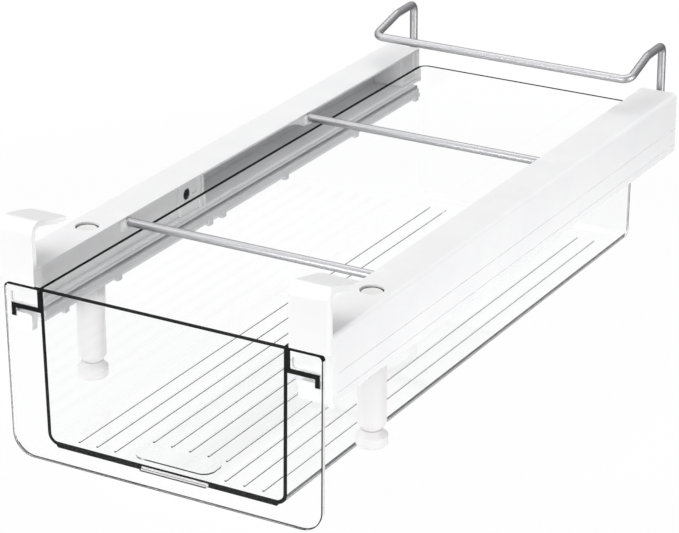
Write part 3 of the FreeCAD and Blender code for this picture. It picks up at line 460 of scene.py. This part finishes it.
def bin_face(centre, normal):
    """A face's finish, by its place and the way it looks: painted shade, near black where the bin
    is glued and along the front of its rim, grey along the rear of its rim and dark in its
    right-hand floor and rear bends, where the clear wall is seen edge-on; frosted on its flanges
    and clear elsewhere."""
    glued = centre.y < bin_low.y + glued_depth and normal.y < -0.7
    on_rim = centre.z > bin_high.z - rim_depth and normal.z > 0.7
    on_flange = abs(centre.x) > flange_start and abs(normal.z) > 0.9
    along_floor = centre.z < bin_low.z + floor_corner and abs(normal.y) < 0.2
    floor_bend = along_floor and 0.5 < normal.x < 0.9 and normal.z < 0
    at_rear = centre.y > bin_high.y - rear_corner and abs(normal.z) < 0.3
    rear_bend = at_rear and 0.5 < normal.x < 0.85 and normal.y > 0.3
    if glued:
        return dark_edge_painted_shade
    if on_rim:
        return rim_painted_shade if centre.y > bin_high.y - rear_rim else dark_edge_painted_shade
    if floor_bend or rear_bend:
        return edge_painted_shade
    return frosted_and_painted_light if on_flange else clear_wall


colour_faces(bin_piece, bin_face)


# Front panel: a clear plate wider than the bin, with rounded corners and a finger groove over
# the floor's edge. Its polished edges look dark, because they show the plate's depth; that dark
# is painted shade along the top, the left, the underside and the front rounding, and its
# right-hand edges are pale with painted light.

panel_edge = 0.0008
top_depth = 0.003
groove_height = 0.007
corner_width = 0.013
slant = 0.2
panel_low, panel_high = (Vector(corner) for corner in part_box("front_panel"))
panel = soften(
    "front_panel", "front_plate", panel_edge, "drawer", "clear_plastic",
    clear_wall, edge_painted_shade, dark_edge_painted_shade, frosted_and_painted_light,
)


def panel_face(centre, normal):
    """A face's finish: clear in front and behind; painted shade, dark along the top, the left,
    the underside and the front rounding and on the groove's own front edge; pale, a frosted
    finish with painted light, on the right, along the rear rounding and in the groove."""
    inside = abs(centre.x) < panel_high.x - corner_width
    in_groove = inside and centre.z > panel_low.z + groove_height
    looks_forward, looks_back = normal.y < -slant, normal.y > slant
    looks_right, looks_down = normal.x > slant, normal.z < -slant
    if abs(normal.y) > 0.95:
        return clear_wall
    if centre.z > panel_high.z - top_depth:
        return dark_edge_painted_shade
    if in_groove:
        return edge_painted_shade if looks_forward else frosted_and_painted_light
    if looks_forward:
        return dark_edge_painted_shade
    if looks_back:
        return edge_painted_shade if looks_down else frosted_and_painted_light
    return frosted_and_painted_light if looks_right else edge_painted_shade


colour_faces(panel, panel_face)

# Light passes through the two clear pieces: they cast no shadow and darken nothing beside them.
for piece in (bin_piece, panel):
    piece.visible_shadow = False
    piece.visible_diffuse = False


# Studio: a sheet of pale paper under the drawer on a dull bench, a bright soft box above it, a
# fill from the left, low strip lights on the right and in front, and the camera over a metre away.

sheet_middle = (0, 0.19, 0)
sheet_radius = 0.22
bench_radius = 0.42
floor_reach = 30
floor_gap = 0.0006
floor_mesh = bpy.data.meshes.new("studio_floor")
shape = bmesh.new()
bmesh.ops.create_grid(shape, x_segments=1, y_segments=1, size=floor_reach)
bmesh.ops.translate(shape, verts=shape.verts, vec=(0, 0, panel_low.z - floor_gap))
shape.to_mesh(floor_mesh)
shape.free()
floor = bpy.data.objects.new("studio_floor", floor_mesh)
bpy.context.scene.collection.objects.link(floor)


def seen_directly(tree, mirrored):
    """1 for what the camera or a clear wall shows, mirrored for what metal shows, 0 for the
    light that falls on the object."""
    path = tree.nodes.new("ShaderNodeLightPath")
    first, second = tree.nodes.new("ShaderNodeMath"), tree.nodes.new("ShaderNodeMath")
    first.operation, second.operation = "MAXIMUM", "MULTIPLY_ADD"
    second.use_clamp = True
    second.inputs[1].default_value = mirrored
    tree.links.new(path.outputs["Is Camera Ray"], first.inputs[0])
    tree.links.new(path.outputs["Is Transmission Ray"], first.inputs[1])
    tree.links.new(path.outputs["Is Glossy Ray"], second.inputs[0])
    tree.links.new(first.outputs["Value"], second.inputs[2])
    return second.outputs["Value"]


def sheet_to_bench(tree, distance, on_sheet, on_bench):
    """A value that runs from the sheet's to the bench's with the distance from the middle."""
    run = tree.nodes.new("ShaderNodeMapRange")
    run.inputs["From Min"].default_value = sheet_radius
    run.inputs["From Max"].default_value = bench_radius
    run.inputs["To Min"].default_value = on_sheet
    run.inputs["To Max"].default_value = on_bench
    tree.links.new(distance, run.inputs["Value"])
    return run.outputs["Result"]


floor_paper = bpy.data.materials.new("studio_paper")
floor_paper.use_nodes = True
tree = floor_paper.node_tree
add, join = tree.nodes.new, tree.links.new
paper = tree.nodes["Principled BSDF"]
paper.inputs["Roughness"].default_value = 1.0
paper.inputs["Specular IOR Level"].default_value = 0.0
place, ring = add("ShaderNodeTexCoord"), add("ShaderNodeVectorMath")
ring.operation = "DISTANCE"
ring.inputs[1].default_value = sheet_middle
join(place.outputs["Object"], ring.inputs[0])
join(sheet_to_bench(tree, ring.outputs["Value"], 0.9, 0.15), paper.inputs["Base Color"])
glow, share = add("ShaderNodeEmission"), add("ShaderNodeMath")
glow.inputs["Strength"].default_value = 1.0
share.operation = "MULTIPLY"
join(seen_directly(tree, 0.1), share.inputs[0])
join(sheet_to_bench(tree, ring.outputs["Value"], 0.93, 1.0), share.inputs[1])
blend = add("ShaderNodeMixShader")
join(share.outputs["Value"], blend.inputs["Fac"])
join(paper.outputs["BSDF"], blend.inputs[1])
join(glow.outputs["Emission"], blend.inputs[2])
join(blend.outputs["Shader"], tree.nodes["Material Output"].inputs["Surface"])
floor_mesh.materials.append(floor_paper)

world = bpy.data.worlds.new("studio_air")
bpy.context.scene.world = world
world.use_nodes = True
tree = world.node_tree
add, join = tree.nodes.new, tree.links.new
air = tree.nodes["Background"]
air.inputs["Strength"].default_value = 0.86
place, slope = add("ShaderNodeTexCoord"), add("ShaderNodeVectorMath")
slope.operation = "DOT_PRODUCT"
slope.inputs[1].default_value = (-0.42, -0.05, 0.9)
join(place.outputs["Generated"], slope.inputs[0])
ramp = add("ShaderNodeValToRGB")
ramp.color_ramp.elements[0].position = 0.0
ramp.color_ramp.elements[0].color = (0.27, 0.27, 0.28, 1)
ramp.color_ramp.elements[1].position = 0.75
ramp.color_ramp.elements[1].color = (0.95, 0.95, 0.95, 1)
join(slope.outputs["Value"], ramp.inputs["Fac"])
join(ramp.outputs["Color"], air.inputs["Color"])
white = add("ShaderNodeBackground")
white.inputs["Color"].default_value = (1, 1, 1, 1)
blend = add("ShaderNodeMixShader")
join(seen_directly(tree, 0.2), blend.inputs["Fac"])
join(air.outputs["Background"], blend.inputs[1])
join(white.outputs["Background"], blend.inputs[2])
join(blend.outputs["Shader"], tree.nodes["World Output"].inputs["Surface"])


def softbox(name, spot, aim, wide, high, power):
    """A rectangular lamp that faces a point."""
    lamp = bpy.data.lights.new(name, "AREA")
    lamp.shape = "RECTANGLE"
    lamp.size = wide
    lamp.size_y = high
    lamp.energy = power
    holder = bpy.data.objects.new(name, lamp)
    bpy.context.scene.collection.objects.link(holder)
    holder.location = spot
    holder.rotation_euler = (Vector(aim) - Vector(spot)).to_track_quat("-Z", "Y").to_euler()


softbox(
    "top_softbox", spot=(-0.35, 0.6, 1.65), aim=(-0.05, 0.15, 0), wide=1.4, high=1.4, power=10.8,
)
softbox(
    "left_softbox", spot=(-1.1, -0.7, 1.2), aim=(0, 0.1, 0), wide=0.9, high=0.9, power=5,
)
softbox(
    "right_strip", spot=(1.5, 0.15, -0.022), aim=(0.09, 0.19, -0.016), wide=0.5, high=0.034,
    power=12.5,
)
softbox(
    "front_strip", spot=(-0.1, -1.5, 0.12), aim=(0, 0, -0.02), wide=0.8, high=0.3, power=14,
)

camera_data = bpy.data.cameras.new("studio_camera")
camera_data.sensor_width = 36.0
camera_data.lens = 151.85
camera_data.shift_x = 0.024
camera_data.shift_y = 0.0013
camera_data.clip_start = 0.05
camera_data.clip_end = 60.0
camera = bpy.data.objects.new("studio_camera", camera_data)
bpy.context.scene.collection.objects.link(camera)
camera_spot = Vector((0.6873, -1.0188, 0.5279))
across = Vector((0.86311, 0.50499, -0.00605)).normalized()
away = -Vector((-0.46786, 0.79503, -0.38605)).normalized()
upward = away.cross(across).normalized()
turn = Matrix((across, upward, away)).transposed().to_4x4()
camera.matrix_world = Matrix.Translation(camera_spot) @ turn
bpy.context.scene.camera = camera

view = bpy.context.scene.view_settings
view.view_transform = "Standard"
